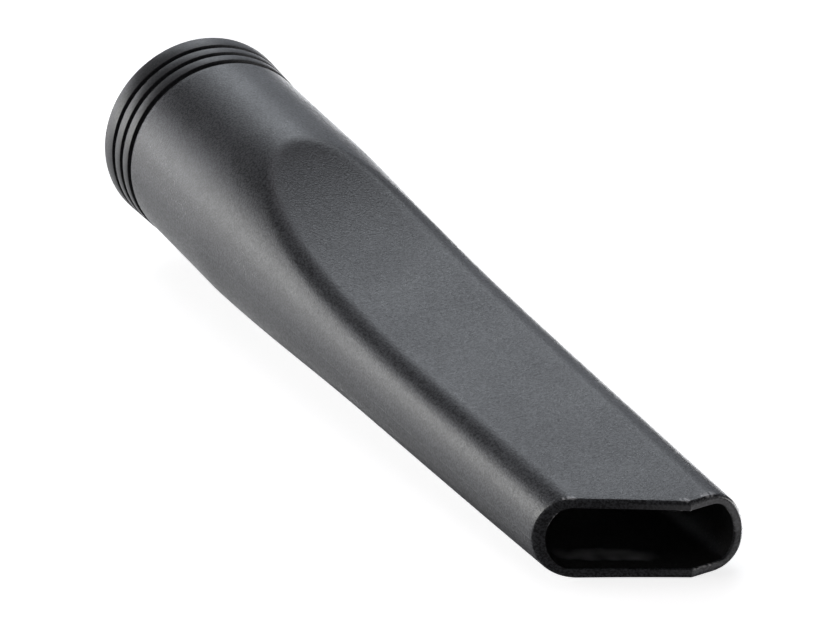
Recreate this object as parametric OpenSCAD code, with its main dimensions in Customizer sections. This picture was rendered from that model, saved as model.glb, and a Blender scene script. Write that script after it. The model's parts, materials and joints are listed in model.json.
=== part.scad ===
// Crevice nozzle for a vacuum's round pipe.
// The socket's open end is at the origin, the tube runs along -Y to the suction
// mouth, the flat top panel faces +Z and the mouth's long tip is on the +X side.

/* [Socket] */
// Bore of the socket, which is the diameter of the pipe it goes over
socket_bore_d = 32; // [28:0.5:33]
// Outer diameter of the collar
collar_d = 38.4; // [37:0.1:42]
// Length of the collar up to the tube
collar_len = 11.6; // [11:0.1:16]
// Depth of the socket from its open end to the stop
socket_depth = 31; // [24:1:36]
// Number of grooves around the collar
groove_count = 3; // [1:1:3]
// Width of one groove
groove_w = 1.2; // [0.8:0.1:1.8]
// Distance from one groove to the next
groove_pitch = 3.4; // [2.6:0.1:3.6]
// Depth of one groove
groove_depth = 0.8; // [0.4:0.1:1.4]

/* [Tube] */
// Length from the socket's open end to the mouth's long tip
tube_len = 184; // [160:1:230]
// Outer diameter of the round part, next to the collar
barrel_d = 37; // [36.4:0.2:38]
// Half of the width at the mouth
mouth_half_w = 14.6; // [12:0.2:17]
// Distance from the collar at which the sides begin to close in
taper_start = 42; // [20:1:60]
// Wall thickness at the stop of the socket
wall_barrel = 2.6; // [2:0.1:3]
// Wall thickness at the mouth
wall_mouth = 1.6; // [1.2:0.1:2.4]

/* [Top panel] */
// Where the flat panel begins, from the socket's open end
panel_start = 47.4; // [42:0.2:60]
// Where the panel's dip ends
panel_dip_end = 146; // [90:1:160]
// Height of the panel over the parting line, extrapolated back to its beginning
panel_h_start = 8.5; // [6:0.1:12]
// Height of the panel over the parting line at the mouth
panel_h_mouth = 7.6; // [6:0.1:10]
// How sharply the panel dips, as the power of its curve
panel_power = 3.6; // [1.5:0.1:4]

/* [Underside] */
// Where the underside begins to rise, from the socket's open end
under_start = 36; // [34:0.2:70]
// Where the underside's sweep ends
under_sweep_end = 108; // [90:1:170]
// Depth of the underside below the parting line, extrapolated back to its beginning
under_h_start = 13.2; // [5:0.1:15]
// Depth of the underside below the parting line at the mouth
under_h_mouth = 6.2; // [5:0.1:9]
// How sharply the underside sweeps, as the power of its curve
under_power = 3.8; // [1.5:0.1:4]

/* [Blade] */
// How far the parting line rises above the socket's axis by the mouth
blade_rise = 4.7; // [0:0.1:12]
// Radius of the rounded edge between a flat face and a flank
edge_r = 5.4; // [3:0.1:6]
// How round the flanks stay at the mouth: 0 is a half circle, 1 is nearly flat
flank_flatness = 0.3; // [0:0.05:0.9]

/* [Mouth cut] */
// Angle of the oblique part of the cut, seen from above
cut_angle = 35; // [0:1:40]
// Distance of the cut's corner from the middle, towards the long tip
cut_corner_x = 5.4; // [2:0.1:8]

/* [Seam] */
// Width of the weld tongue on the upper shell
tongue_w = 0.6; // [0.4:0.1:0.8]
// Height of the weld tongue
tongue_h = 0.9; // [0.5:0.1:1.2]

/* [Hidden] */

collar_r = collar_d / 2;
bore_r = socket_bore_d / 2;
barrel_r = barrel_d / 2;
barrel_min_r = barrel_r * 0.994;
barrel_settle = 20;
spigot_r = bore_r + 1.25;
spigot_gap = 0.06;
rim_round = 0.3;
rim_steps = 4;
groove_edge = 0.12;
collar_taper = 0.6;
turn_sides = 96;

half_points = 28;
ring_count = 38;
cut_zone = 42;
rise_start = 37;
rise_blend = 0.3;
flank_settle = 106;
edge_clear = 0.1;
stop_step = 0.1;
stop_rings = 3;
seam_gap = 0.05;
tongue_fade = 6;
tongue_end_h = 0.04;
min_inner_r = 0.8;
corner_tighten = 1.6;

// 0 before lo, 1 after hi, straight between
function ramp(v, lo, hi) = min(1, max(0, (v - lo) / (hi - lo)));

// the same with soft ends
function soft(v, lo, hi) =
    let (t = ramp(v, lo, hi))
    t * t * (3 - 2 * t);

// Height of the parting line over the socket's axis, at a distance s from the open end
function rise(s) =
    let (t = ramp(s, rise_start, tube_len))
    blade_rise * (t < rise_blend ? t * t / (2 * rise_blend) : t - rise_blend / 2)
    / (1 - rise_blend / 2);

// Radius of the round part, and half of the width
function round_r(s) =
    barrel_r + (barrel_min_r - barrel_r) * ramp(s, collar_len, collar_len + barrel_settle);
function half_w(s) =
    round_r(s) + (mouth_half_w - barrel_min_r) * ramp(s, taper_start, tube_len);

// Height of one half over the parting line: round first, then a dip to a straight run
function half_h(s, start, dip_end, h0, h1, power) =
    let (straight = h0 + (h1 - h0) * ramp(s, start, tube_len))
    let (left = 1 - ramp(s, start, dip_end))
    min(half_w(s), straight + (round_r(s) - straight) * pow(left, power));
function top_h(s) =
    half_h(s, panel_start, panel_dip_end, panel_h_start, panel_h_mouth, panel_power);
function under_h(s) =
    half_h(s, under_start, under_sweep_end, under_h_start, under_h_mouth, under_power);

// Radius of the flank arc of a half: the whole round at the collar, tighter at the mouth
function flank_r(s, w, h) =
    h + (w - h) * (1 - (1 - flank_flatness) * soft(s, panel_start / 2, flank_settle));

// Wall thickness: a rebate for the collar's spigot, a stop, then thinner to the mouth
function wall(s) =
    s <= socket_depth
    ? round_r(s) - spigot_r - spigot_gap
    : wall_barrel + (wall_mouth - wall_barrel) * ramp(s, socket_depth, tube_len);

// A half section is [half width, height, flank radius, edge radius], off = inwards offset.
// The duct's corners are tighter than an even wall would make them.
function section(s, upper, off) =
    let (w = half_w(s), h = upper ? top_h(s) : under_h(s))
    let (f = flank_r(s, w, h))
    let (e = min(edge_r, h - edge_clear))
    [w - off, h - off, f - off, max(e - off * corner_tighten, min_inner_r)];
function edge_x(sec) =
    sec[0] - sec[2] + sqrt(max(0, pow(sec[2] - sec[3], 2) - pow(sec[1] - sec[3], 2)));
function edge_angle(sec) =
    atan2(sec[1] - sec[3], edge_x(sec) - sec[0] + sec[2]);

// Lengths of the flank arc and the edge arc, and half of the section's whole length
function flank_len(sec) = sec[2] * edge_angle(sec) * PI / 180;
function edge_len(sec) = sec[3] * (90 - edge_angle(sec)) * PI / 180;
function quarter_len(sec) = flank_len(sec) + edge_len(sec) + edge_x(sec);

// The point at a length p along one quarter, from the flank's middle to the centre line
function quarter_point(sec, p) =
    let (fl = flank_len(sec), el = edge_len(sec), ex = edge_x(sec))
    p <= fl
    ? let (g = p / sec[2] * 180 / PI)
      [sec[0] - sec[2] + sec[2] * cos(g), sec[2] * sin(g)]
    : p <= fl + el
    ? let (g = edge_angle(sec) + (p - fl) / sec[3] * 180 / PI)
      [ex + sec[3] * cos(g), sec[1] - sec[3] + sec[3] * sin(g)]
    : [ex - (p - fl - el), sec[1]];

// The same over the whole half, share = 0 on the +X flank and 1 on the -X flank
function half_point(sec, share) =
    let (q = quarter_len(sec), p = share * 2 * q)
    p <= q
    ? quarter_point(sec, p)
    : let (m = quarter_point(sec, 2 * q - p)) [-m[0], m[1]];

// Shares are spread so that one point of every ring leads to the cut's corner
function corner_share(upper, off) =
    let (sec = section(tube_len, upper, off), q = quarter_len(sec))
    (q - cut_corner_x) / (2 * q);
function corner_index(upper) = round(corner_share(upper, 0) * half_points);
function share(j, upper, off) =
    let (k = corner_index(upper), c = corner_share(upper, off))
    j <= k ? c * j / k : c + (1 - c) * (j - k) / (half_points - k);

// The cut: how far back from the long tip the mouth's edge is at x
function cut_back(x) = max(0, cut_corner_x - x) * tan(cut_angle);
function place_s(s, x) =
    s - cut_back(x) * ramp(s, tube_len - cut_zone, tube_len);

// A point of the shell: x across, z over the parting line (turned down for the lower half)
function shell_point(s, x, z, upper) =
    let (t = place_s(s, x))
    [x, -t, rise(t) + (upper ? z : -z)];
function ring_point(s, j, upper, inner) =
    let (off0 = inner ? wall(s) : 0)
    let (x0 = half_point(section(s, upper, off0), share(j, upper, off0))[0])
    let (t = place_s(s, x0))
    let (off1 = inner ? wall(t) : 0)
    let (p = half_point(section(t, upper, off1), share(j, upper, off1)))
    shell_point(s, p[0], p[1], upper);

// The tongue (or its groove) along one edge of the seam, side = 1 on +X, -1 on -X
function seam_points(s, side, upper) =
    let (j = side > 0 ? 0 : half_points)
    let (xo = abs(ring_point(s, j, upper, false)[0]))
    let (xi = abs(ring_point(s, j, upper, true)[0]))
    let (gap = upper ? 0 : seam_gap)
    let (h = tongue_end_h + (tongue_h - tongue_end_h)
        * (1 - ramp(s, tube_len - cut_zone - tongue_fade, tube_len - cut_zone)))
    let (z = upper ? -h : h + gap)
    let (mid = (xo + xi) / 2, w = tongue_w / 2 + gap)
    [for (c = [[mid + w, 0], [mid + w, z], [mid - w, z], [mid - w, 0]])
        shell_point(s, side * c[0], c[1], upper)];

function reversed(list) = [for (i = [len(list) - 1 : -1 : 0]) list[i]];

// One closed loop of points around the wall's cross section
function wall_loop(s, upper) = concat(
    [for (j = [0 : half_points]) ring_point(s, j, upper, false)],
    seam_points(s, -1, upper),
    [for (j = [half_points : -1 : 0]) ring_point(s, j, upper, true)],
    reversed(seam_points(s, 1, upper)));

// Distances of the rings: close together at the stop's step, even elsewhere
function ring_places() =
    let (first = socket_depth + stop_step, steps = ring_count - stop_rings - 1)
    concat(
        [collar_len, (collar_len + socket_depth) / 2, socket_depth],
        [for (i = [0 : steps]) first + (tube_len - first) * i / steps]);

function side_faces(rings, n) = [
    for (i = [0 : rings - 2], k = [0 : n - 1])
        let (a = i * n + k, b = i * n + (k + 1) % n)
        each [[a, b, b + n], [a, b + n, a + n]]];

// Places of a loop's points: outer(j) and inner(j) for j = 0 .. half_points, then the
// four seam points of each edge, in the order in which the loop runs
loop_len = 2 * half_points + 10;
function outer(j) = j;
function inner(j) = 2 * half_points + 5 - j;
function left_seam(k) = half_points + 1 + k;
function right_seam(k) = 2 * half_points + 6 + k;

// An end of the wall: a strip of triangles, with the tongue added or its groove left out
function strip_end() = [
    for (j = [1 : half_points - 2])
        each [[outer(j), outer(j + 1), inner(j + 1)], [outer(j), inner(j + 1), inner(j)]]];
function tongue_end() =
    let (p = outer(1), q = outer(half_points - 1), e = half_points)
    [
        [p, inner(1), inner(0)],
        [p, inner(0), right_seam(0)],
        [p, right_seam(0), right_seam(3)],
        [p, right_seam(3), outer(0)],
        [right_seam(0), right_seam(1), right_seam(2)],
        [right_seam(0), right_seam(2), right_seam(3)],
        [q, outer(e), left_seam(0)],
        [q, left_seam(0), left_seam(3)],
        [q, left_seam(3), inner(e)],
        [q, inner(e), inner(e - 1)],
        [left_seam(0), left_seam(1), left_seam(2)],
        [left_seam(0), left_seam(2), left_seam(3)]
    ];
function groove_end() =
    let (p = outer(1), q = inner(1), e = half_points)
    let (u = outer(e - 1), v = inner(e - 1))
    [
        [q, inner(0), right_seam(0)],
        [q, right_seam(0), right_seam(1)],
        [p, q, right_seam(1)],
        [p, right_seam(1), right_seam(2)],
        [p, right_seam(2), right_seam(3)],
        [p, right_seam(3), outer(0)],
        [u, outer(e), left_seam(0)],
        [u, left_seam(0), left_seam(1)],
        [u, left_seam(1), left_seam(2)],
        [u, left_seam(2), v],
        [v, left_seam(2), left_seam(3)],
        [v, left_seam(3), inner(e)]
    ];
function end_faces(upper) = concat(strip_end(), upper ? tongue_end() : groove_end());

module shell(upper) {
    loops = [for (s = ring_places()) wall_loop(s, upper)];
    last = (len(loops) - 1) * loop_len;
    ends = end_faces(upper);
    faces = concat(
        [for (f = ends) reversed(f)],
        side_faces(len(loops), loop_len),
        [for (f = ends) [for (i = f) i + last]]);
    points = [for (loop = loops) each loop];
    polyhedron(points, upper ? [for (f = faces) reversed(f)] : faces);
}

module upper_shell() {
    color("#4b4d51") shell(true);
}

module lower_shell() {
    color("#3c3e42") shell(false);
}

// Outline of the collar's wall for turning: [radius, distance from the open end].
// The collar narrows a little towards the tube.
function ring_r(y) = collar_r - collar_taper * y / collar_len;
function groove_at(i) = collar_len - groove_w / 2 - (groove_count - 1 - i) * groove_pitch;
function groove_outline(i) =
    let (y = groove_at(i), near = y - groove_w / 2, far = y + groove_w / 2)
    let (deep = ring_r(y) - groove_depth, e = groove_edge)
    concat(
        [[ring_r(near - e), near - e], [ring_r(near) - e, near], [deep, near], [deep, far]],
        i < groove_count - 1 ? [[ring_r(far) - e, far], [ring_r(far + e), far + e]] : []);
function round_edge(r, steps) = [
    for (i = [0 : steps])
        let (g = 90 * i / steps)
        [ring_r(r) - r + r * sin(g), r - r * cos(g)]];

module socket_collar() {
    color("#2f3033")
    rotate([90, 0, 0])
    rotate_extrude($fn = turn_sides)
    polygon(concat(
        [[bore_r, 0]],
        round_edge(rim_round, rim_steps),
        [for (i = [0 : groove_count - 1]) each groove_outline(i)],
        [[spigot_r, collar_len], [spigot_r, socket_depth], [bore_r, socket_depth]]));
}

upper_shell();
lower_shell();
socket_collar();
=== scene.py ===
"""Crevice nozzle: moulded tube halves, grooved collar, plastic finishes, studio."""
import json
import math

import bmesh
import bpy
from mathutils import Matrix, Vector, noise


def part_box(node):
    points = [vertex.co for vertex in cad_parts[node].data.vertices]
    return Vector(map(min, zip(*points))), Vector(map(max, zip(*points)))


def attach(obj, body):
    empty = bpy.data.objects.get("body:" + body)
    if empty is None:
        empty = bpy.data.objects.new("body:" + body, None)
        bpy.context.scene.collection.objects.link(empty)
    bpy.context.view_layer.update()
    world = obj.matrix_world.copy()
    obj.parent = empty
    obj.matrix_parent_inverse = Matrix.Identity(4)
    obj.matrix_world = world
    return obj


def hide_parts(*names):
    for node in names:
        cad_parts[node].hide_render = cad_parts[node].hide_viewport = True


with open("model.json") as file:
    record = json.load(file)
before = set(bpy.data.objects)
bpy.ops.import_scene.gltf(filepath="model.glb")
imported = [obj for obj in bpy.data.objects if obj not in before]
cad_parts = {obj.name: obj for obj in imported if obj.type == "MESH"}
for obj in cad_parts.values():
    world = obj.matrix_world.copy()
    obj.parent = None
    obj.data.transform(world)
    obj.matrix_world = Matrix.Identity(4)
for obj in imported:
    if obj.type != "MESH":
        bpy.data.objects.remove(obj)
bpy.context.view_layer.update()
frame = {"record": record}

MM = 0.001

# ---------------------------------------------------------------------------
# Driving sizes, in millimetres, as in the CAD part. s is the distance from the
# socket's open end towards the mouth, so a point's Y is -s.
# ---------------------------------------------------------------------------
UPPER_LOW, UPPER_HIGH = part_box("upper_shell")
COLLAR_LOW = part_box("socket_collar")[0]

TUBE_LEN = -UPPER_LOW.y / MM
SHELL_START = -UPPER_HIGH.y / MM
BARREL_R = UPPER_HIGH.x / MM
BARREL_MIN_R = BARREL_R * 0.994
BARREL_SETTLE = 20.0
SOCKET_DEPTH = -COLLAR_LOW.y / MM
BORE_R = frame["record"]["mounts"][0]["dims"]["r_mm"]
SPIGOT_R = BORE_R + 1.25
SPIGOT_GAP = 0.06
STOP_STEP = 0.1

MOUTH_HALF_W = 14.6
TAPER_START = 42.0
WALL_BARREL = 2.6
WALL_MOUTH = 1.6

TOP = {"start": 47.4, "dip_end": 146.0, "h0": 8.5, "h1": 7.6, "power": 3.6}
UNDER = {"start": 36.0, "dip_end": 108.0, "h0": 13.2, "h1": 6.2, "power": 3.8}

BLADE_RISE = 4.7
RISE_START = 37.0
RISE_BLEND = 0.3
EDGE_R = 5.4
EDGE_CLEAR = 0.1
FLANK_FLATNESS = 0.3
FLANK_SETTLE = 106.0
CUT_ANGLE = math.radians(35.0)
CUT_CORNER_X = 5.4
CUT_ZONE = 42.0
MIN_INNER_R = 0.8
CORNER_TIGHTEN = 1.6

HALF_POINTS = 120
RUN_STATIONS = 120
RIM_ROUND = 0.55
RIM_INNER_ROUND = 0.2
START_ROUND = 0.2
PARTING_BEVEL = 0.03
PARTING_RIDGE = 0.035
TONGUE_SIDE = 0.7
TONGUE_HEIGHT = 0.9
TONGUE_CLEARANCE = 0.05
SHELL_CREASE = 35.0


def ramp(value, low, high):
    """0 before low, 1 after high, straight between."""
    return min(1.0, max(0.0, (value - low) / (high - low)))


def soft(value, low, high):
    """The same with soft ends."""
    t = ramp(value, low, high)
    return t * t * (3.0 - 2.0 * t)


# ---------------------------------------------------------------------------
# The tube's form
# ---------------------------------------------------------------------------
def rise(s):
    """Height of the parting line over the socket's axis."""
    t = ramp(s, RISE_START, TUBE_LEN)
    climb = t * t / (2.0 * RISE_BLEND) if t < RISE_BLEND else t - RISE_BLEND / 2.0
    return BLADE_RISE * climb / (1.0 - RISE_BLEND / 2.0)


def round_r(s):
    """Radius of the round part."""
    return BARREL_R + (BARREL_MIN_R - BARREL_R) * ramp(s, SHELL_START, SHELL_START + BARREL_SETTLE)


def half_w(s):
    """Half of the tube's width."""
    return round_r(s) + (MOUTH_HALF_W - BARREL_MIN_R) * ramp(s, TAPER_START, TUBE_LEN)


def half_h(s, form):
    """Height of one half over the parting line: round, then a dip to a straight run."""
    straight = form["h0"] + (form["h1"] - form["h0"]) * ramp(s, form["start"], TUBE_LEN)
    left = 1.0 - ramp(s, form["start"], form["dip_end"])
    return min(half_w(s), straight + (round_r(s) - straight) * left ** form["power"])


def wall(s):
    """Wall thickness: a rebate for the collar's spigot, a stop, then thinner to the mouth."""
    if s <= SOCKET_DEPTH:
        return round_r(s) - SPIGOT_R - SPIGOT_GAP
    return WALL_BARREL + (WALL_MOUTH - WALL_BARREL) * ramp(s, SOCKET_DEPTH, TUBE_LEN)


def section(s, form, inset):
    """A half section: half width, height, flank radius and edge radius, moved inwards.

    The duct's corners are tighter than an even wall would make them.
    """
    w = half_w(s)
    h = half_h(s, form)
    flank = h + (w - h) * (1.0 - (1.0 - FLANK_FLATNESS) * soft(s, TOP["start"] / 2.0, FLANK_SETTLE))
    edge = min(EDGE_R, h - EDGE_CLEAR)
    return w - inset, h - inset, flank - inset, max(edge - inset * CORNER_TIGHTEN, MIN_INNER_R)


def quarter(sec):
    """Where the flat begins, the flank arc's angle, and the lengths of flank and edge arcs."""
    w, h, flank, edge = sec
    flat = w - flank + math.sqrt(max(0.0, (flank - edge) ** 2 - (h - edge) ** 2))
    angle = math.atan2(h - edge, flat - w + flank)
    return flat, angle, flank * angle, edge * (math.pi / 2.0 - angle)


def half_point(sec, share):
    """A point of a half section: share 0 is the +X flank, 1 the -X flank."""
    w, h, flank, edge = sec
    flat, angle, flank_len, edge_len = quarter(sec)
    whole = flank_len + edge_len + flat
    along = share * 2.0 * whole
    side = 1.0
    if along > whole:
        along = 2.0 * whole - along
        side = -1.0
    if along <= flank_len:
        turn = along / flank
        return side * (w - flank + flank * math.cos(turn)), flank * math.sin(turn)
    if along <= flank_len + edge_len:
        turn = angle + (along - flank_len) / edge
        return side * (flat + edge * math.cos(turn)), h - edge + edge * math.sin(turn)
    return side * (flat - (along - flank_len - edge_len)), h


def cut_back(x):
    """How far the mouth's oblique edge lies back from the long tip at x."""
    return max(0.0, CUT_CORNER_X - x) * math.tan(CUT_ANGLE)


def corner_share(form, inset):
    """The share at which a half ring reaches the cut's corner."""
    sec = section(TUBE_LEN, form, inset)
    flat, _, flank_len, edge_len = quarter(sec)
    whole = flank_len + edge_len + flat
    return (whole - CUT_CORNER_X) / (2.0 * whole)


def spread_share(index, form, inset):
    """Shares are spread so that one line of points leads to the cut's corner."""
    at_corner = round(corner_share(form, 0.0) * HALF_POINTS)
    corner = corner_share(form, min(inset, WALL_MOUTH))
    if index <= at_corner:
        return corner * index / at_corner
    return corner + (1.0 - corner) * (index - at_corner) / (HALF_POINTS - at_corner)


def inset_at(station, s):
    """A station is a distance, a share of the wall's thickness and an extra inset."""
    return station[1] * wall(s) + station[2]


def shell_point(station, index, form, up):
    """A point of a shell half, in metres."""
    inset = inset_at(station, station[0])
    share = spread_share(index, form, inset)
    x = half_point(section(station[0], form, inset), share)[0]
    s = station[0] - cut_back(x) * ramp(station[0], TUBE_LEN - CUT_ZONE, TUBE_LEN)
    x, z = half_point(section(s, form, inset_at(station, s)), share)
    if station[1] == 0.0 and index in (0, HALF_POINTS):
        x += math.copysign(PARTING_RIDGE, x)
    return Vector((x, -s, rise(s) + up * z)) * MM


def quarter_turn(steps):
    """Angles from 0 to 90 degrees."""
    return [math.pi / 2.0 * i / steps for i in range(steps + 1)]


def run_distances():
    """Distances of the long run between the rounded ends, with the socket's stop kept sharp."""
    first = SHELL_START + START_ROUND
    last = TUBE_LEN - RIM_ROUND
    even = [first + (last - first) * i / RUN_STATIONS for i in range(RUN_STATIONS + 1)]
    near_stop = min(range(len(even)), key=lambda i: abs(even[i] - SOCKET_DEPTH))
    even[near_stop] = SOCKET_DEPTH
    even[near_stop + 1] = SOCKET_DEPTH + STOP_STEP
    return even


def wall_stations():
    """Round the wall: the start's edge, out along the tube, over the rim, back inside."""
    run = run_distances()
    stations = []
    for g in quarter_turn(3)[:-1]:
        in_from_start = START_ROUND * (1 - math.cos(g))
        stations.append((SHELL_START + in_from_start, 0.0, START_ROUND * (1 - math.sin(g))))
    outer_first = len(stations)
    stations += [(s, 0.0, 0.0) for s in run]
    outer_last = len(stations) - 1
    for g in quarter_turn(6)[1:]:
        stations.append((TUBE_LEN - RIM_ROUND * (1 - math.sin(g)), 0.0, RIM_ROUND * (1 - math.cos(g))))
    for i in range(1, 4):
        part = i / 4.0
        stations.append((TUBE_LEN, part, RIM_ROUND * (1 - part) - RIM_INNER_ROUND * part))
    for g in quarter_turn(3)[:-1]:
        in_from_rim = RIM_INNER_ROUND * (1 - math.cos(g))
        stations.append((TUBE_LEN - in_from_rim, 1.0, -RIM_INNER_ROUND * (1 - math.sin(g))))
    inner_first = len(stations)
    stations += [(s, 1.0, 0.0) for s in reversed(run)]
    inner_last = len(stations) - 1
    stations.append((SHELL_START, 1.0, 0.0))
    return stations, (outer_first, outer_last), (inner_first, inner_last)


# ---------------------------------------------------------------------------
# Mesh work
# ---------------------------------------------------------------------------
def half_ring(bm, point):
    """A half circle of edges: a whole circle cut at the parting plane."""
    bmesh.ops.create_circle(bm, segments=2 * HALF_POINTS, radius=1.0)
    bmesh.ops.rotate(bm, verts=bm.verts, cent=(0, 0, 0), matrix=Matrix.Rotation(math.pi / 2.0, 3, "X"))
    bmesh.ops.bisect_plane(
        bm, geom=bm.verts[:] + bm.edges[:], dist=1e-5,
        plane_co=(0, 0, 0), plane_no=(0, 0, 1), clear_inner=True,
    )
    for v in bm.verts:
        v[point] = round(math.atan2(max(v.co.z, 0.0), v.co.x) / math.pi * HALF_POINTS)
    return bm.edges[:]


def loft_wall(bm, form, up):
    """The half ring is drawn out from station to station, all the way round the wall."""
    point = bm.verts.layers.int.new("point")
    place = bm.verts.layers.int.new("place")
    stations, outer, inner = wall_stations()
    ring = half_ring(bm, point)
    for v in bm.verts:
        v.co = shell_point(stations[0], v[point], form, up)
    first = ring
    for i, station in enumerate(stations[1:], 1):
        drawn = bmesh.ops.extrude_edge_only(bm, edges=ring)["geom"]
        ring = [g for g in drawn if isinstance(g, bmesh.types.BMEdge)]
        for v in (g for g in drawn if isinstance(g, bmesh.types.BMVert)):
            v.co = shell_point(station, v[point], form, up)
            v[place] = i
        ring = [e for e in ring if e.verts[0][place] == i and e.verts[1][place] == i]
    bmesh.ops.bridge_loops(bm, edges=first + ring)
    return point, place, outer, inner


PANEL_FADE = 2.4
PANEL_START_FADE = 8.0


def mark_panel(bm, place, outer_last):
    """How far a point lies on the flat top panel, whose grain is coarser."""
    panel = bm.verts.layers.float.new("panel")
    for v in bm.verts:
        s = -v.co.y / MM
        if v[place] > outer_last or s < TOP["start"]:
            continue
        inside = quarter(section(s, TOP, 0.0))[0] + PANEL_FADE / 2.0 - abs(v.co.x / MM)
        v[panel] = ramp(inside, 0.0, PANEL_FADE) * ramp(s, TOP["start"], TOP["start"] + PANEL_START_FADE)


# For the upper half (1) and the lower half (-1): middle and reach across the mouth, which
# edge of the rim the lip stands on, and its height, all in millimetres.
BURRS = {
    1.0: [
        (-9.8, 1.1, "outer", 0.12),
        (5.0, 0.9, "outer", 0.10),
        (4.8, 1.0, "inner", 0.16),
        (8.6, 1.8, "outer", 0.08),
        (12.6, 1.6, "inner", 0.12),
        (-12.2, 1.0, "inner", 0.10),
    ],
    -1.0: [
        (6.6, 1.6, "inner", 0.16),
        (9.2, 1.3, "inner", 0.12),
    ],
}
BURR_SCALE = 2.3
BURR_SHIFT = Vector((0.0, 0.0, 7.0))
BURR_LEAN = 0.4
# How strongly light is painted on the mouth's cut face, for each half.
CUT_FACE_PAINTED_LIGHT = {1.0: 0.30, -1.0: 0.22}


def trim_burrs_and_paint_rim_light(bm, place, outer_last, inner_first, up):
    """The trimmed mouth: painted light on the cut face, paler towards +X, and ragged lips pushed out
    along its edges.
    """
    burr_and_light = bm.verts.layers.float.new("burr_and_light")
    for v in bm.verts:
        if not outer_last <= v[place] < inner_first:
            continue
        x = v.co.x / MM
        across = (v[place] - outer_last) / (inner_first - outer_last)
        cut_face_light = ramp(across, 0.38, 0.5) * (1.0 - ramp(across, 0.9, 1.0))
        # Painted light: the cut face is made paler, more so towards +X.
        v[burr_and_light] = cut_face_light * CUT_FACE_PAINTED_LIGHT[up] * ramp(x, -12.0, 4.0)
        for middle, reach, edge, height in BURRS[up]:
            near_edge = 1.0 - ramp(across, 0.10, 0.35) if edge == "outer" else ramp(across, 0.68, 0.93)
            mask = near_edge * soft(reach - abs(x - middle), 0.0, 0.5 * reach)
            if mask <= 0.0:
                continue
            amount = mask * max(0.0, noise.noise(v.co / MM * BURR_SCALE + BURR_SHIFT) + 0.25)
            v[burr_and_light] = max(v[burr_and_light], min(1.0, 2.2 * amount))
            lip = (height if edge == "outer" else -height) * amount * MM
            v.co.z += up * lip
            v.co.x += BURR_LEAN * lip * math.copysign(1.0, x)


# Strength of the painted light on the duct's floor.
DUCT_FLOOR_LIGHT = 0.48


def paint_duct_floor_light(bm, place, inner_first):
    """Painted light: a faint paler patch on the duct's floor, just inside the mouth."""
    burr_and_light = bm.verts.layers.float["burr_and_light"]
    for v in bm.verts:
        x = v.co.x / MM
        inside = TUBE_LEN - cut_back(x) + v.co.y / MM
        if v[place] <= inner_first + 1 or inside > 12.0:
            continue
        across = ramp(x, -11.0, -9.0) * (1.0 - ramp(x, 1.0, 5.5))
        along = ramp(inside, 2.5, 4.5) * (1.0 - ramp(inside, 6.5, 9.5))
        v[burr_and_light] = DUCT_FLOOR_LIGHT * across * along * (0.8 + 0.5 * noise.noise(v.co / MM * 0.5))


def side_edges(bm, point, place, index, span):
    """The run of edges along one side of the parting, between two stations."""
    return [
        e for e in bm.edges
        if all(v[point] == index and span[0] <= v[place] <= span[1] for v in e.verts)
    ]


def close_parting(bm, point, place, outer, inner):
    """The two faces that meet the other half, and the small ends of them."""
    faces = []
    for index in (0, HALF_POINTS):
        strip = side_edges(bm, point, place, index, outer) + side_edges(bm, point, place, index, inner)
        faces += bmesh.ops.bridge_loops(bm, edges=strip)["faces"]
    bmesh.ops.holes_fill(bm, edges=[e for e in bm.edges if e.is_boundary], sides=0)
    return faces


def weld_rib(bm, faces, depth):
    """A rib that stands on the parting face, or a channel sunk into it."""
    low = -(TUBE_LEN - CUT_ZONE) * MM
    high = -(SOCKET_DEPTH + 1.0) * MM
    run = [f for f in faces if low < f.calc_center_median().y < high]
    bmesh.ops.inset_region(bm, faces=run, thickness=TONGUE_SIDE * MM, use_even_offset=True)
    raised = bmesh.ops.extrude_face_region(bm, geom=run)["geom"]
    bmesh.ops.delete(bm, geom=run, context="FACES_ONLY")
    bmesh.ops.translate(
        bm, verts=[g for g in raised if isinstance(g, bmesh.types.BMVert)], vec=(0, 0, -depth * MM)
    )


def ease_parting_edge(bm, point, place, last_place):
    """A fine chamfer where the parting comes out on the flanks: the parting line."""
    edges = []
    for index in (0, HALF_POINTS):
        edges += side_edges(bm, point, place, index, (1, last_place))
    edges = [e for e in edges if len(e.link_faces) == 2]
    bmesh.ops.bevel(
        bm, geom=edges, offset=PARTING_BEVEL * MM, offset_type="OFFSET",
        segments=1, profile=0.5, affect="EDGES", material=-1,
    )


def mark_creases(bm, angle):
    """Smooth faces everywhere, and a crisp edge where the surface really turns."""
    for f in bm.faces:
        f.smooth = True
    for e in bm.edges:
        e.smooth = not (e.is_manifold and e.calc_face_angle(0.0) > math.radians(angle))


def line_duct(bm, place, inner_first):
    """The faces inside the duct take the second finish, whose darker colour is painted shade."""
    for f in bm.faces:
        if all(v[place] >= inner_first for v in f.verts):
            f.material_index = 1


def finish_piece(name, bm, materials, node):
    """The mesh becomes a piece that rides on the part and stands for its CAD node."""
    bmesh.ops.recalc_face_normals(bm, faces=bm.faces)
    mesh = bpy.data.meshes.new(name)
    bm.to_mesh(mesh)
    bm.free()
    for material in materials:
        mesh.materials.append(material)
    piece = bpy.data.objects.new(name, mesh)
    bpy.context.scene.collection.objects.link(piece)
    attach(piece, "root")
    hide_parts(node)
    return piece


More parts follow.
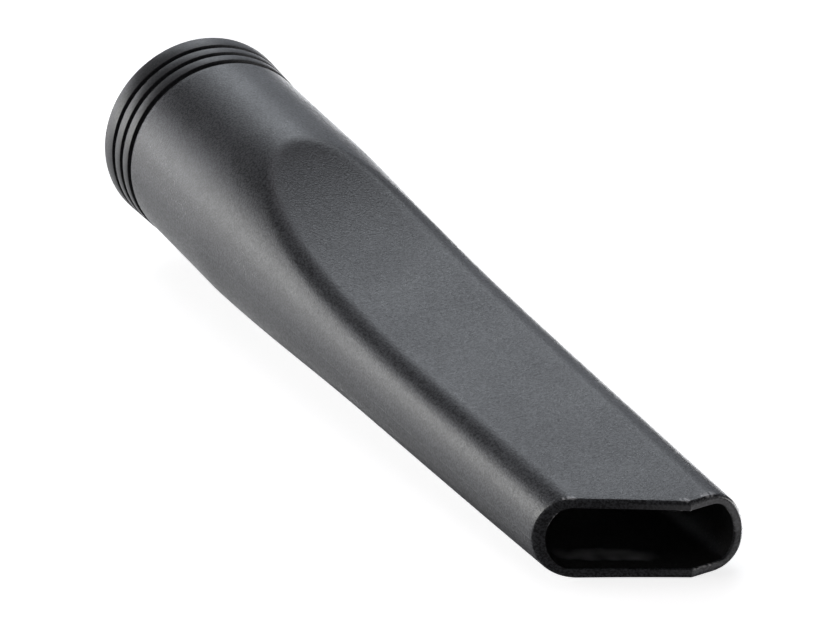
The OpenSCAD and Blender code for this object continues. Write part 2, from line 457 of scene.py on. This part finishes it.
def shell_half(name, node, form, up, materials):
    """One half of the tube."""
    bm = bmesh.new()
    point, place, outer, inner = loft_wall(bm, form, up)
    if up > 0:
        mark_panel(bm, place, outer[1] + 1)
    trim_burrs_and_paint_rim_light(bm, place, outer[1], inner[0], up)
    if up < 0:
        paint_duct_floor_light(bm, place, inner[0])
    faces = close_parting(bm, point, place, outer, inner)
    bmesh.ops.recalc_face_normals(bm, faces=bm.faces)
    weld_rib(bm, faces, TONGUE_HEIGHT if up > 0 else TONGUE_HEIGHT + TONGUE_CLEARANCE)
    line_duct(bm, place, inner[0])
    ease_parting_edge(bm, point, place, outer[1] + 4)
    mark_creases(bm, SHELL_CREASE)
    return finish_piece(name, bm, materials, node)


COLLAR_R = 19.2
COLLAR_TAPER = 0.6
GROOVE_WIDTH = 1.2
GROOVE_PITCH = 3.4
GROOVE_DEPTH = 0.8
GROOVE_COUNT = 3
COLLAR_STEPS = 216
COLLAR_RIM_ROUND = 0.3
COLLAR_EDGE_ROUND = 0.12
GROOVE_FLOOR_ROUND = 0.2
SPIGOT_END_ROUND = 0.15
STOP_ROUND = 0.1
COLLAR_CREASE = 40.0


def collar_radius(s):
    """The collar narrows a little towards the tube."""
    return COLLAR_R - COLLAR_TAPER * s / SHELL_START


def collar_outline():
    """Corners of the collar's wall: radius, distance from the open end, and edge rounding."""
    corners = [(BORE_R, 0.0, COLLAR_EDGE_ROUND), (collar_radius(0.0), 0.0, COLLAR_RIM_ROUND)]
    for i in range(GROOVE_COUNT):
        middle = SHELL_START - GROOVE_WIDTH / 2.0 - (GROOVE_COUNT - 1 - i) * GROOVE_PITCH
        near = middle - GROOVE_WIDTH / 2.0
        far = middle + GROOVE_WIDTH / 2.0
        deep = collar_radius(near) - GROOVE_DEPTH
        corners.append((collar_radius(near), near, COLLAR_EDGE_ROUND))
        corners.append((deep, near, GROOVE_FLOOR_ROUND))
        corners.append((deep, far, GROOVE_FLOOR_ROUND if i < GROOVE_COUNT - 1 else 0.0))
        if i < GROOVE_COUNT - 1:
            corners.append((collar_radius(far), far, COLLAR_EDGE_ROUND))
    corners.append((SPIGOT_R, SHELL_START, 0.0))
    corners.append((SPIGOT_R, SOCKET_DEPTH, SPIGOT_END_ROUND))
    corners.append((BORE_R, SOCKET_DEPTH, STOP_ROUND))
    return corners


def round_circle(bm, corner):
    """Rounds the edge that runs round the collar at this corner."""
    radius, s, width = corner
    edges = [
        e for e in bm.edges
        if all(
            abs(math.hypot(v.co.x, v.co.z) - radius * MM) < 1e-6 and abs(v.co.y + s * MM) < 1e-6
            for v in e.verts
        )
    ]
    bmesh.ops.bevel(
        bm, geom=edges, offset=width * MM, offset_type="OFFSET",
        segments=3, profile=0.5, affect="EDGES", material=-1,
    )


def socket_collar(materials):
    """The collar's wall outline is spun round the socket's axis, then its edges are rounded."""
    bm = bmesh.new()
    corners = collar_outline()
    points = [bm.verts.new((r * MM, -s * MM, 0.0)) for r, s, _ in corners]
    loop = [bm.edges.new((points[i - 1], points[i])) for i in range(len(points))]
    bmesh.ops.spin(
        bm, geom=points + loop, cent=(0, 0, 0), axis=(0, 1, 0), dvec=(0, 0, 0),
        angle=2.0 * math.pi, steps=COLLAR_STEPS, use_merge=True, use_duplicate=False,
    )
    bmesh.ops.remove_doubles(bm, verts=bm.verts, dist=1e-7)
    bmesh.ops.recalc_face_normals(bm, faces=bm.faces)
    for corner in corners:
        if corner[2] > 0.0:
            round_circle(bm, corner)
    mark_creases(bm, COLLAR_CREASE)
    return finish_piece("grooved_collar", bm, materials, "socket_collar")


# ---------------------------------------------------------------------------
# Finishes
# ---------------------------------------------------------------------------
def add_node(tree, kind, **settings):
    """A node with its inputs set by name."""
    node = tree.nodes.new(kind)
    for key, value in settings.items():
        if key in node.inputs:
            node.inputs[key].default_value = value
        else:
            setattr(node, key, value)
    return node


def grain(tree, coordinates, size, detail=2.0, roughness=0.55):
    """Noise with grains of this size, in metres."""
    node = add_node(tree, "ShaderNodeTexNoise", Scale=1.0 / size, Detail=detail, Roughness=roughness)
    tree.links.new(coordinates, node.inputs["Vector"])
    return node.outputs["Fac"]


def spread(tree, value, low, high, to_low, to_high):
    """A value's range mapped to another, held at its ends."""
    node = tree.nodes.new("ShaderNodeMapRange")
    ends = {"From Min": low, "From Max": high, "To Min": to_low, "To Max": to_high}
    for socket, number in ends.items():
        node.inputs[socket].default_value = number
    tree.links.new(value, node.inputs["Value"])
    return node.outputs["Result"]


def times(tree, a, b):
    """Product of two values."""
    node = add_node(tree, "ShaderNodeMath", operation="MULTIPLY")
    tree.links.new(a, node.inputs[0])
    tree.links.new(b, node.inputs[1])
    return node.outputs["Value"]


def painted(tree, name):
    """A value painted on the piece's points."""
    node = add_node(tree, "ShaderNodeAttribute", attribute_type="GEOMETRY", attribute_name=name)
    return node.outputs["Fac"]


def blend_colours(tree, factor, first, second):
    """One colour turning into another; each is a colour or a socket."""
    node = add_node(tree, "ShaderNodeMix", data_type="RGBA")
    for socket, colour in ((node.inputs[6], first), (node.inputs[7], second)):
        if isinstance(colour, tuple):
            socket.default_value = (*colour, 1.0)
        else:
            tree.links.new(colour, socket)
    tree.links.new(factor, node.inputs[0])
    return node.outputs[2]


def add_values(tree, a, b):
    """Sum of two values."""
    node = add_node(tree, "ShaderNodeMath", operation="ADD")
    tree.links.new(a, node.inputs[0])
    tree.links.new(b, node.inputs[1])
    return node.outputs["Value"]


GRAIN_SIZE = 0.00036
PORE_SIZE = 0.00060
SPECK_SIZE = 0.00042
FLOW_SIZE = 0.0022
CLOUD_SIZE = 0.014
WAVE_DEPTH = 0.000004
NOISE_TURN = (0.5, 0.8, 0.3)
SPECK_COLOUR = (0.22, 0.22, 0.23)
PALE_BURR_AND_LIGHT_COLOUR = (0.42, 0.42, 0.43)


def moulded_plastic(
    name, dark, light, rough_low, rough_high, grain_depth, panel_depth=None, burrs_and_painted_light=False, shine=0.5
):
    """Dark moulded plastic: spark-eroded grain, cloudy pigment and pale trimming specks."""
    material = bpy.data.materials.new(name)
    material.use_nodes = True
    tree = material.node_tree
    shader = tree.nodes["Principled BSDF"]
    turned = add_node(tree, "ShaderNodeMapping", Rotation=NOISE_TURN)
    tree.links.new(tree.nodes.new("ShaderNodeTexCoord").outputs["Object"], turned.inputs["Vector"])
    coordinates = turned.outputs["Vector"]

    fine = grain(tree, coordinates, GRAIN_SIZE)
    pores = grain(tree, coordinates, PORE_SIZE, detail=1.0)
    cloud = grain(tree, coordinates, CLOUD_SIZE, detail=3.0)
    flow = grain(tree, coordinates, FLOW_SIZE)

    pigment = add_values(
        tree,
        spread(tree, fine, 0.42, 0.58, 0.0, 0.85),
        spread(tree, cloud, 0.3, 0.7, 0.0, 0.15),
    )
    colour = blend_colours(tree, pigment, dark, light)
    specks = spread(tree, grain(tree, coordinates, SPECK_SIZE, detail=0.0), 0.80, 0.84, 0.0, 0.2)
    colour = blend_colours(tree, specks, colour, SPECK_COLOUR)
    # Pale burrs, and painted light on the mouth's cut face and the duct's floor, all read from one
    # attribute.
    if burrs_and_painted_light:
        pale = spread(tree, painted(tree, "burr_and_light"), 0.15, 0.7, 0.0, 1.0)
        colour = blend_colours(tree, pale, colour, PALE_BURR_AND_LIGHT_COLOUR)
    tree.links.new(colour, shader.inputs["Base Color"])
    shader.inputs["Specular IOR Level"].default_value = shine

    rough = add_values(
        tree,
        spread(tree, pores, 0.3, 0.7, rough_low, rough_high),
        spread(tree, cloud, 0.35, 0.65, -0.02, 0.03),
    )
    tree.links.new(rough, shader.inputs["Roughness"])

    waves = add_node(tree, "ShaderNodeBump", Strength=1.0, Distance=WAVE_DEPTH)
    tree.links.new(flow, waves.inputs["Height"])
    bump = add_node(tree, "ShaderNodeBump", Strength=1.0, Distance=grain_depth)
    if panel_depth is None:
        tree.links.new(fine, bump.inputs["Height"])
    else:
        deeper = spread(tree, painted(tree, "panel"), 0.0, 1.0, 1.0, panel_depth / grain_depth)
        tree.links.new(times(tree, fine, deeper), bump.inputs["Height"])
    tree.links.new(waves.outputs["Normal"], bump.inputs["Normal"])
    tree.links.new(bump.outputs["Normal"], shader.inputs["Normal"])
    return material


# ---------------------------------------------------------------------------
# Floor, light and camera
# ---------------------------------------------------------------------------
def resting_slope():
    """Slope of the plane that touches the belly and the mouth's lower edge, and its height."""
    bottom = [(s, rise(s) - half_h(s, UNDER)) for s in run_distances()]
    mouth_s, mouth_z = TUBE_LEN, rise(TUBE_LEN) - half_h(TUBE_LEN, UNDER)
    slope = max((mouth_z - z) / (mouth_s - s) for s, z in bottom if s < TUBE_LEN - CUT_ZONE)
    return slope, mouth_z - slope * mouth_s


FLOOR_HALF_SIZE = 3.0
FLOOR_GLOW = 0.78


def pale_floor():
    """A wide pale sheet under the part, at the slope at which the part rests."""
    slope, height = resting_slope()
    bm = bmesh.new()
    bmesh.ops.create_grid(bm, x_segments=1, y_segments=1, size=FLOOR_HALF_SIZE)
    tilt = Matrix.Rotation(-math.atan(slope), 3, "X")
    bmesh.ops.rotate(bm, verts=bm.verts, cent=(0, 0, 0), matrix=tilt)
    bmesh.ops.translate(bm, verts=bm.verts, vec=(0, 0, height * MM))
    mesh = bpy.data.meshes.new("pale_floor")
    bm.to_mesh(mesh)
    bm.free()
    material = bpy.data.materials.new("pale_floor_paint")
    material.use_nodes = True
    shader = material.node_tree.nodes["Principled BSDF"]
    shader.inputs["Base Color"].default_value = (0.9, 0.9, 0.9, 1.0)
    shader.inputs["Roughness"].default_value = 0.9
    shader.inputs["Emission Color"].default_value = (1.0, 1.0, 1.0, 1.0)
    shader.inputs["Emission Strength"].default_value = FLOOR_GLOW
    mesh.materials.append(material)
    floor = bpy.data.objects.new("pale_floor", mesh)
    bpy.context.scene.collection.objects.link(floor)
    floor.visible_diffuse = False
    floor.visible_glossy = False
    floor.visible_shadow = False
    return floor


def direction(azimuth, elevation):
    """Unit vector towards an azimuth and an elevation: 0 is towards the mouth, 90 towards +X."""
    a = math.radians(azimuth)
    e = math.radians(elevation)
    return Vector((math.sin(a) * math.cos(e), -math.cos(a) * math.cos(e), math.sin(e)))


# Each lamp: name, azimuth and elevation in degrees, strength, colour.
LAMPS = [
    ("key_behind_left", 240.0, 8.0, 0.90, (1.0, 0.99, 0.97)),
    ("key_beside", 225.0, 8.0, 0.34, (1.0, 1.0, 0.92)),
    ("card_behind", 210.0, 8.0, 0.38, (0.92, 0.94, 1.0)),
    ("card_behind_low", 210.0, -8.0, 0.15, (1.0, 0.98, 0.99)),
    ("card_left_low", 225.0, -10.0, 0.14, (0.93, 0.96, 1.0)),
    ("bounce_left", 210.0, -25.0, 0.13, (0.95, 0.97, 1.0)),
    ("bounce_behind", 180.0, -25.0, 0.165, (0.97, 0.98, 1.0)),
    ("sweep_behind", 180.0, -8.0, 1.20, (0.96, 0.95, 1.0)),
    ("sweep_right", 150.0, -25.0, 0.53, (0.96, 0.97, 1.0)),
    ("sweep_right_low", 120.0, -25.0, 0.69, (1.0, 0.98, 0.92)),
    ("edge_right", 90.0, -25.0, 2.30, (0.96, 0.97, 1.0)),
    ("edge_front_right", 60.0, -8.0, 1.28, (1.0, 0.98, 0.95)),
    ("card_right_low", 150.0, 8.0, 0.12, (0.85, 0.91, 1.0)),
    ("card_right_middle", 165.0, 22.0, 0.22, (0.89, 0.94, 1.0)),
    ("card_right_high", 150.0, 38.0, 0.36, (0.89, 0.94, 1.0)),
    ("card_above", 180.0, 70.0, 0.24, (0.98, 0.93, 1.0)),
]
LAMP_WIDTH = math.radians(28.0)
AIR_COLOUR = (0.99, 0.975, 1.0, 1.0)
AIR_STRENGTH = 0.108


def broad_light(name, azimuth, elevation, strength, colour):
    """A wide soft light, far enough away to be even over the whole part."""
    lamp = bpy.data.lights.new(name, "SUN")
    lamp.angle = LAMP_WIDTH
    lamp.energy = strength
    lamp.color = colour
    light = bpy.data.objects.new(name, lamp)
    away = direction(azimuth, elevation)
    light.location = away
    light.rotation_mode = "QUATERNION"
    light.rotation_quaternion = away.to_track_quat("Z", "Y")
    bpy.context.scene.collection.objects.link(light)
    return light


def studio():
    """A soft key low behind the left flank, cards and bounces around the part, and a dim even fill."""
    for name, azimuth, elevation, strength, colour in LAMPS:
        broad_light(name, azimuth, elevation, strength, colour)
    world = bpy.data.worlds.new("studio_air")
    world.use_nodes = True
    world.node_tree.nodes["Background"].inputs["Color"].default_value = AIR_COLOUR
    world.node_tree.nodes["Background"].inputs["Strength"].default_value = AIR_STRENGTH
    bpy.context.scene.world = world


CAMERA_AZIMUTH = -23.924
CAMERA_ELEVATION = 28.484
CAMERA_ROLL = -3.286
CAMERA_LENS = 175.39586
SOCKET_FROM_CAMERA = Vector((-40.503, 35.390, -763.02))


def camera():
    """A long lens from above the mouth, a little to its left."""
    azimuth = math.radians(CAMERA_AZIMUTH)
    roll = math.radians(CAMERA_ROLL)
    back = direction(CAMERA_AZIMUTH, CAMERA_ELEVATION)
    level = Vector((math.cos(azimuth), math.sin(azimuth), 0.0))
    above = back.cross(level)
    right = math.cos(roll) * level + math.sin(roll) * above
    up = -math.sin(roll) * level + math.cos(roll) * above
    data = bpy.data.cameras.new("camera")
    data.sensor_fit = "HORIZONTAL"
    data.sensor_width = 36.0
    data.lens = CAMERA_LENS
    data.clip_start = 0.05
    data.clip_end = 20.0
    eye = bpy.data.objects.new("camera", data)
    turn = Matrix((right, up, back)).transposed()
    place = -(turn @ SOCKET_FROM_CAMERA) * MM
    eye.matrix_world = Matrix.Translation(place) @ turn.to_4x4()
    bpy.context.scene.collection.objects.link(eye)
    bpy.context.scene.camera = eye


# ---------------------------------------------------------------------------
# The whole part
# ---------------------------------------------------------------------------
shell_finish = moulded_plastic(
    "shell_moulded_plastic", (0.002, 0.002, 0.003), (0.076, 0.079, 0.087), 0.28, 0.40,
    0.000036, panel_depth=0.000080, burrs_and_painted_light=True
)
# The duct's finish: its darker colour is painted shade inside the tube.
duct_finish_painted_shade = moulded_plastic(
    "duct_plastic_painted_shade", (0.012, 0.012, 0.012), (0.022, 0.022, 0.022), 0.42, 0.55, 0.000006,
    burrs_and_painted_light=True, shine=0.15
)
collar_finish = moulded_plastic(
    "collar_moulded_plastic", (0.020, 0.020, 0.022), (0.045, 0.046, 0.050), 0.32, 0.42, 0.000006
)
shell_half("upper_tube_half", "upper_shell", TOP, 1.0, [shell_finish, duct_finish_painted_shade])
shell_half("lower_tube_half", "lower_shell", UNDER, -1.0, [shell_finish, duct_finish_painted_shade])
socket_collar([collar_finish])

pale_floor()
studio()
camera()
bpy.context.scene.view_settings.view_transform = "Standard"
